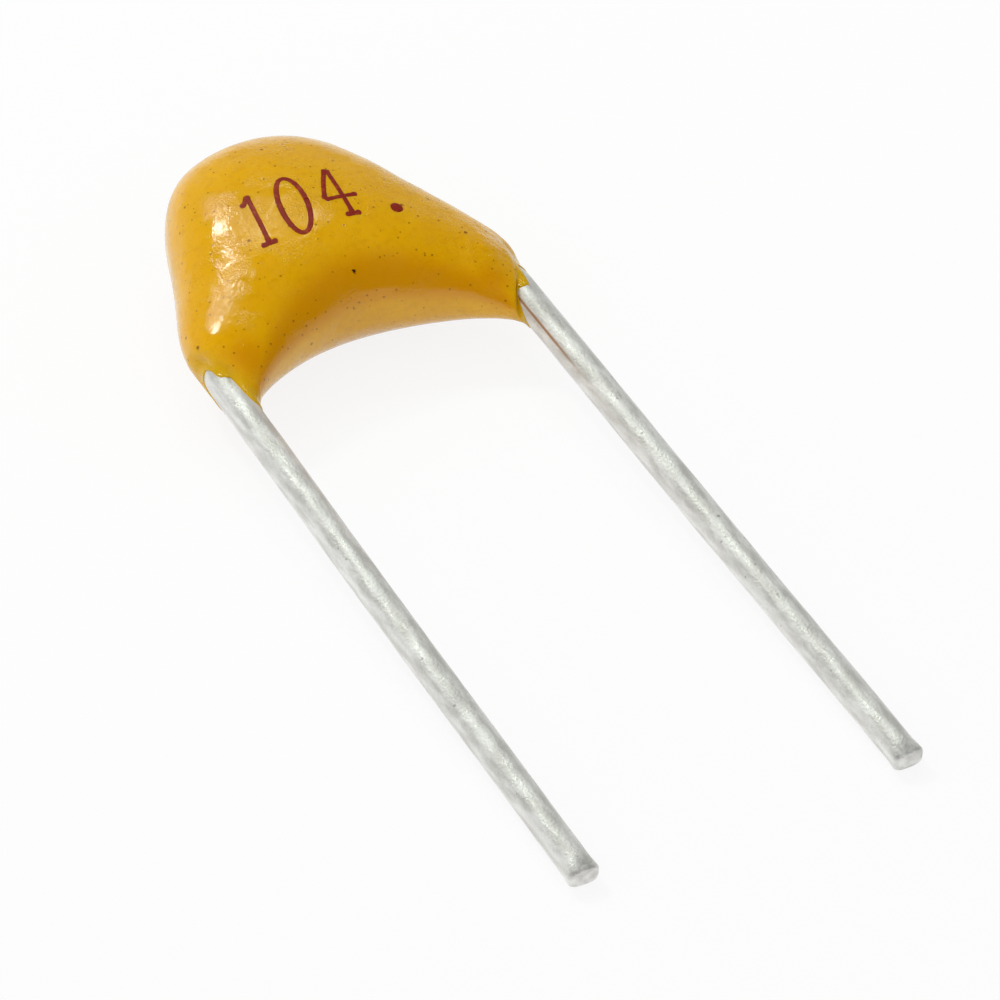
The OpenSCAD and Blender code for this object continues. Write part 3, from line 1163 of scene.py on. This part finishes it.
@dataclass(frozen=True)
class DippedEpoxy:
    """Glossy mustard epoxy, a little translucent, with burnt specks and painted shade."""

    body: Colour = linear(225, 167, 2)
    sunny: Colour = linear(231, 174, 8)
    mottle: Colour = linear(210, 148, 0)
    # Colour of the painted shade over the arch and beside the wires.
    deep: Colour = linear(214, 146, 0)
    thin: Colour = linear(214, 166, 6)
    burnt: Colour = linear(124, 72, 4)
    black: Colour = linear(48, 30, 12)
    tone: Pattern = Pattern(1.4, 3.0, (0.35, 0.65))
    clouds: Pattern = Pattern(0.1, 4.0, (0.45, 0.75), (0.0, 0.4))
    deep_share: float = 0.95
    thin_share: float = 0.8
    small: Specks = Specks(0.1, 0.025, 0.95, 0.65)
    large: Specks = Specks(0.36, 0.042, 0.5, 0.8)
    spot_r: Pattern = Pattern(0.03, 2.0, (0.3, 0.7), (0.6 * MM, 1.5 * MM))
    spot_scale: float = 0.032
    spot_edge: float = 0.004
    gloss: Pattern = Pattern(0.5, 3.0, (0.3, 0.7), (0.08, 0.17))
    scatter: float = 0.35
    scatter_reach: float = 0.35
    scatter_colour: Triple = (1.0, 0.8, 0.25)
    sheen: float = 0.15
    sheen_tint: Colour = (0.9, 1.0, 0.85, 1.0)
    wave_pitch: float = 0.3
    wave_relief: float = 0.006
    fine_pitch: float = 0.04
    fine_relief: float = 0.012
    fine_patches: Pattern = Pattern(0.45, 1.0, (0.4, 0.6), (0.3, 1.0))

    def spot(self, paint: Paint, place: Array) -> Socket:
        """One larger burnt grain: 1 within its ragged edge.

        Args:
            paint: The material.
            place: Its place in metres.

        Returns:
            The spot.
        """
        far = paint.add(
            "ShaderNodeVectorMath", paint.place, place.tolist(), operation="DISTANCE"
        )
        reach = paint.math("MULTIPLY", paint.pattern(self.spot_r), self.spot_scale)
        inside = paint.math("SUBTRACT", reach, far.outputs["Value"])
        return paint.ramp(inside, 0.0, self.spot_edge * MM, 0.0, 1.0)

    def dress(self, piece: Piece, grain: Array) -> None:
        """Gives the piece this finish.

        Args:
            piece: The coating.
            grain: Place of the largest burnt grain, in metres.
        """
        paint = Paint("dipped_epoxy")
        colour = paint.blend(paint.pattern(self.tone), self.body, self.sunny)
        colour = paint.blend(paint.pattern(self.clouds), colour, self.mottle)
        # The first mark paints shade where the skin faces down and to the front; the second is
        # the thin coating near the wires.
        marks = (("deep", self.deep, self.deep_share), ("thin", self.thin, self.thin_share))
        for name, shade, most in marks:
            share = paint.ramp(paint.mark(name), 0.0, 1.0, 0.0, most)
            colour = paint.blend(share, colour, shade)
        burnt = paint.math("MAXIMUM", paint.specks(self.small), paint.specks(self.large))
        colour = paint.blend(burnt, colour, self.burnt)
        colour = paint.blend(self.spot(paint, grain), colour, self.black)
        paint.set(Base_Color=colour, Roughness=paint.pattern(self.gloss), IOR=1.5)
        paint.set(Subsurface_Weight=self.scatter, Subsurface_Scale=self.scatter_reach * MM)
        paint.set(Subsurface_Radius=self.scatter_colour)
        paint.set(Sheen_Weight=self.sheen, Sheen_Roughness=0.3, Sheen_Tint=self.sheen_tint)
        paint.bump(paint.noise(self.wave_pitch), self.wave_relief)
        fine = paint.noise(self.fine_pitch)
        patches = paint.pattern(self.fine_patches)
        paint.bump(paint.math("MULTIPLY", fine, patches), self.fine_relief)
        paint.put_on(piece)


@dataclass(frozen=True)
class Tin:
    """Tinned wire: streaks along it, dark flecks, and a painted reflection, a brown line, where
    it is marked.
    """

    bright: Colour = linear(248, 247, 245)
    dull: Colour = linear(214, 212, 208)
    fleck: Colour = linear(120, 117, 110)
    # Brown of the painted reflection line.
    reflected_brown: Colour = linear(170, 112, 52)
    draw: Triple = (1.0, 0.22, 1.0)
    streak_pitch: float = 0.12
    streak_relief: float = 0.007
    flecks: Specks = Specks(0.17, 0.035, 0.45, 0.5)
    reflection_share: float = 0.85
    gloss: Pattern = Pattern(0.06, 3.0, (0.3, 0.7), (0.4, 0.62))
    metal: float = 0.45
    grain_pitch: float = 0.045
    grain_relief: float = 0.014

    def dress(self, piece: Piece) -> None:
        """Gives the piece this finish."""
        paint = Paint(f"tinned_{piece.name}")
        along = paint.stretched(self.draw)
        streaks = paint.noise(self.streak_pitch, 4.0, along)
        colour = paint.blend(paint.ramp(streaks, 0.3, 0.7, 0.0, 1.0), self.dull, self.bright)
        colour = paint.blend(paint.specks(self.flecks), colour, self.fleck)
        # Painted reflection: a brown line where the wire is marked, in place of the orange body
        # mirrored in the tin.
        stain = paint.ramp(paint.mark("stain"), 0.2, 0.9, 0.0, self.reflection_share)
        colour = paint.blend(stain, colour, self.reflected_brown)
        gloss = paint.pattern(self.gloss, along)
        paint.set(Base_Color=colour, Roughness=gloss, Metallic=self.metal)
        paint.bump(streaks, self.streak_relief)
        paint.bump(paint.noise(self.grain_pitch, 3.0), self.grain_relief)
        paint.put_on(piece)


@dataclass(frozen=True)
class Ink:
    """Maroon printing ink that lies thin on the coating."""

    full: Colour = linear(138, 24, 0)
    worn: Colour = linear(162, 58, 2)
    wear: Pattern = Pattern(0.09, 3.0, (0.5, 0.75))
    gloss: Pattern = Pattern(0.05, 2.0, (0.3, 0.7), (0.4, 0.6))
    shine: float = 0.3
    grain_pitch: float = 0.04
    grain_relief: float = 0.002

    def dress(self, piece: Piece) -> None:
        """Gives the piece this finish."""
        paint = Paint("maroon_ink")
        colour = paint.blend(paint.pattern(self.wear), self.full, self.worn)
        paint.set(Base_Color=colour, Roughness=paint.pattern(self.gloss))
        paint.set(Specular_IOR_Level=self.shine)
        paint.bump(paint.noise(self.grain_pitch), self.grain_relief)
        paint.put_on(piece)


@dataclass(frozen=True)
class InnerFinish:
    """Finish of the parts inside: two tones of fine grain over a bump.

    Attributes:
        rough: Least and greatest roughness.
        grain: Size of the grain in millimetres.
        relief: Height of the grain in millimetres.
    """

    name: str
    light: Colour
    dark: Colour
    metal: float
    rough: Pair
    grain: float
    relief: float

    def dress(self, pieces: list[Piece]) -> None:
        """Gives all the pieces this finish."""
        paint = Paint(self.name)
        grain = paint.noise(self.grain, 4.0)
        share = paint.ramp(grain, 0.35, 0.65, 0.0, 1.0)
        rough = paint.ramp(grain, 0.3, 0.7, *self.rough)
        paint.set(Base_Color=paint.blend(share, self.dark, self.light), Roughness=rough)
        paint.set(Metallic=self.metal)
        paint.bump(grain, self.relief)
        for piece in pieces:
            paint.put_on(piece)


INNER = {
    Slot.CERAMIC: InnerFinish(
        "fired_titanate", linear(150, 108, 74), linear(122, 84, 54), 0.0, (0.6, 0.8), 0.03, 0.002
    ),
    Slot.ELECTRODE: InnerFinish(
        "printed_electrode", linear(196, 190, 182), linear(160, 154, 146), 1.0, (0.45, 0.65),
        0.02, 0.0005,
    ),
    Slot.TERMINATION: InnerFinish(
        "plated_termination", linear(214, 214, 212), linear(184, 183, 180), 1.0, (0.3, 0.5),
        0.05, 0.003,
    ),
    Slot.SOLDER: InnerFinish(
        "satin_solder", linear(208, 210, 214), linear(176, 178, 182), 1.0, (0.2, 0.4), 0.12, 0.004
    ),
}


def dress_inner_parts(nodes: dict[str, Piece], record: dict) -> None:
    """Gives every CAD node that stays the finish of its material slot.

    Args:
        nodes: CAD nodes by name.
        record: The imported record.
    """
    slots = {part["node"]: part["material_slot"] for part in record["subparts"]}
    for slot, finish in INNER.items():
        finish.dress([nodes[n] for n in sorted(nodes) if slots[n] == slot.value])
        LOG.info("inner parts dressed: %s", slot.value)


# --- studio


def facing(target: Triple, bearing: float, height: float, distance: float) -> Matrix:
    """Place of a camera or lamp that faces a target.

    Args:
        target: The target in metres.
        bearing: Degrees clockwise from +Y, seen from the target.
        height: Degrees above the floor.
        distance: Distance from the target in metres.

    Returns:
        The object's world matrix.
    """
    a, e = math.radians(bearing), math.radians(height)
    way = Vector((math.sin(a) * math.cos(e), math.cos(a) * math.cos(e), math.sin(e)))
    turn = way.to_track_quat("Z", "Y").to_matrix().to_4x4()
    return Matrix.Translation(Vector(target) + way * distance) @ turn


@dataclass(frozen=True)
class Softbox:
    """A rectangular lamp that faces the origin, in degrees, metres and watts."""

    name: str
    bearing: float
    height: float
    size: Pair
    power: float


@dataclass(frozen=True)
class Studio:
    """Floor, daylight, lamps and camera.

    Attributes:
        azimuth: Degrees by which the camera stands clockwise from -Y.
        floor_glow: Share of plain white in the floor as it is seen.
        day_slope: Change of the daylight's strength towards +X.
        sky: Heights and brightnesses of the sky that mirrors see.
        rear_band: Range of Y over which that sky grows to full strength.
    """

    target: Triple = (0.2887 * MM, 0.4472 * MM, 0.0)
    azimuth: float = 27.742
    elevation: float = 40.168
    distance: float = 0.25
    lens: float = 593.7
    floor_half: float = 0.6
    floor_drop: float = 2e-6
    floor_paint: Colour = (0.92, 0.92, 0.92, 1.0)
    floor_glow: float = 0.86
    day: float = 0.7
    day_slope: float = -0.33
    sky: tuple[Pair, ...] = ((0.0, 0.9), (0.04, 0.3), (0.4, 0.34), (0.65, 0.08), (0.9, 0.01))
    rear_band: Pair = (-0.5, 0.3)
    rear_least: float = 0.04
    lamp_colour: Triple = (0.92, 1.0, 0.89)
    lamp_distance: float = 0.12
    lamps: tuple[Softbox, ...] = (
        Softbox("lamp_left", -20, 50, (0.012, 0.016), 0.032),
        Softbox("lamp_back", 18, 61, (0.05, 0.009), 0.013),
    )

    def build_floor(self) -> None:
        """A pale floor that shows white and keeps the object's shadow."""
        corners = np.array([(-1, -1, 0), (1, -1, 0), (1, 1, 0), (-1, 1, 0)]) * self.floor_half
        floor = put_mesh("floor", corners - [0, 0, self.floor_drop], [(0, 1, 2, 3)], {})
        material = bpy.data.materials.new("pale_floor")
        sheet = NodeSheet(material)
        sheet.nodes.clear()
        seen = sheet.rays("Camera", "Glossy", "Transmission")
        share = sheet.math("MULTIPLY", seen, self.floor_glow)
        paint = sheet.add("ShaderNodeBsdfDiffuse", self.floor_paint)
        glow = sheet.add("ShaderNodeEmission", WHITE)
        mix = sheet.mix(share, paint, glow)
        sheet.add("ShaderNodeOutputMaterial", mix.outputs[0])
        floor.data.materials.append(material)

    def build_daylight(self) -> None:
        """Even light from all round, with a darker sky for mirrors.

        What mirrors see falls off upwards and towards -Y.  The camera, and
        rays that pass through a piece, see white.
        """
        world = bpy.data.worlds.new("daylight")
        bpy.context.scene.world = world
        sheet = NodeSheet(world)
        sheet.nodes.clear()
        way = sheet.add("ShaderNodeTexCoord").outputs["Generated"]
        x, y, z = sheet.add("ShaderNodeSeparateXYZ", way).outputs
        strength = sheet.math("MULTIPLY_ADD", x, self.day_slope, self.day)
        plain = sheet.add("ShaderNodeBackground", WHITE, strength)
        rear = sheet.ramp(y, *self.rear_band, self.rear_least, 1.0)
        mirrored = sheet.add("ShaderNodeBackground", self.sky_colour(sheet, z), rear)
        white = sheet.add("ShaderNodeBackground", WHITE, 1.0)
        light = sheet.mix(sheet.rays("Glossy"), plain, mirrored)
        seen = sheet.mix(sheet.rays("Camera", "Transmission"), light, white)
        sheet.add("ShaderNodeOutputWorld", seen.outputs[0])

    def sky_colour(self, sheet: NodeSheet, height: Socket) -> Socket:
        """Grey of the sky at a height."""
        node = sheet.add("ShaderNodeValToRGB", height)
        node.color_ramp.interpolation = "EASE"
        stops = node.color_ramp.elements
        stops[-1].position = self.sky[-1][0]
        for at, _ in self.sky[1:-1]:
            stops.new(at)
        for stop, (_, level) in zip(stops, self.sky):
            stop.color = (level, level, level, 1.0)
        return node.outputs[0]

    def build_lamps(self) -> None:
        """Softboxes that face the object."""
        for box in self.lamps:
            lamp = bpy.data.lights.new(box.name, "AREA")
            lamp.shape = "RECTANGLE"
            lamp.size, lamp.size_y = box.size
            lamp.energy = box.power
            lamp.color = self.lamp_colour
            place = facing((0.0, 0.0, 0.0), box.bearing, box.height, self.lamp_distance)
            put_object(box.name, lamp).matrix_world = place

    def build_camera(self) -> None:
        """The camera, a long lens from above the left front."""
        lens = bpy.data.cameras.new("camera")
        lens.lens, lens.sensor_width = self.lens, 36.0
        lens.clip_start, lens.clip_end = 0.01, 10.0
        camera = put_object("camera", lens)
        bearing = 180 + self.azimuth
        camera.matrix_world = facing(self.target, bearing, self.elevation, self.distance)
        bpy.context.scene.camera = camera

    def build(self) -> None:
        """Makes everything round the object."""
        self.build_camera()
        self.build_floor()
        self.build_daylight()
        self.build_lamps()
        bpy.context.scene.view_settings.view_transform = "Standard"
        LOG.info("studio: %d lamps", len(self.lamps))


def main() -> None:
    """Builds the studio and the capacitor."""
    logging.basicConfig(level=logging.INFO, format="%(name)s: %(message)s")
    record = frame["record"]
    pin = next(m for m in record["mounts"] if m["name"] == "left_lead_pin")
    Studio().build()
    shared = {"kink": 0.8, "lean": 46.0}
    left = Lead(Side.LEFT, free=10.94, splay=0.0, bow=0.02, seed=11, **shared)
    right = Lead(
        Side.RIGHT, free=10.88, splay=2.2, bow=-0.02, seed=12, stain=PaintedReflectionLine(), **shared
    )
    device = DeviceFrame.of_pin(pin, left)
    body = CoatedBody(left, right)
    body.build(device, DippedEpoxy())
    left.build(device, Tin())
    right.build(device, Tin())
    PrintedCode().build(device, body, Ink())
    dress_inner_parts(frame["nodes"], record)


if __name__ == "__main__":
    main()
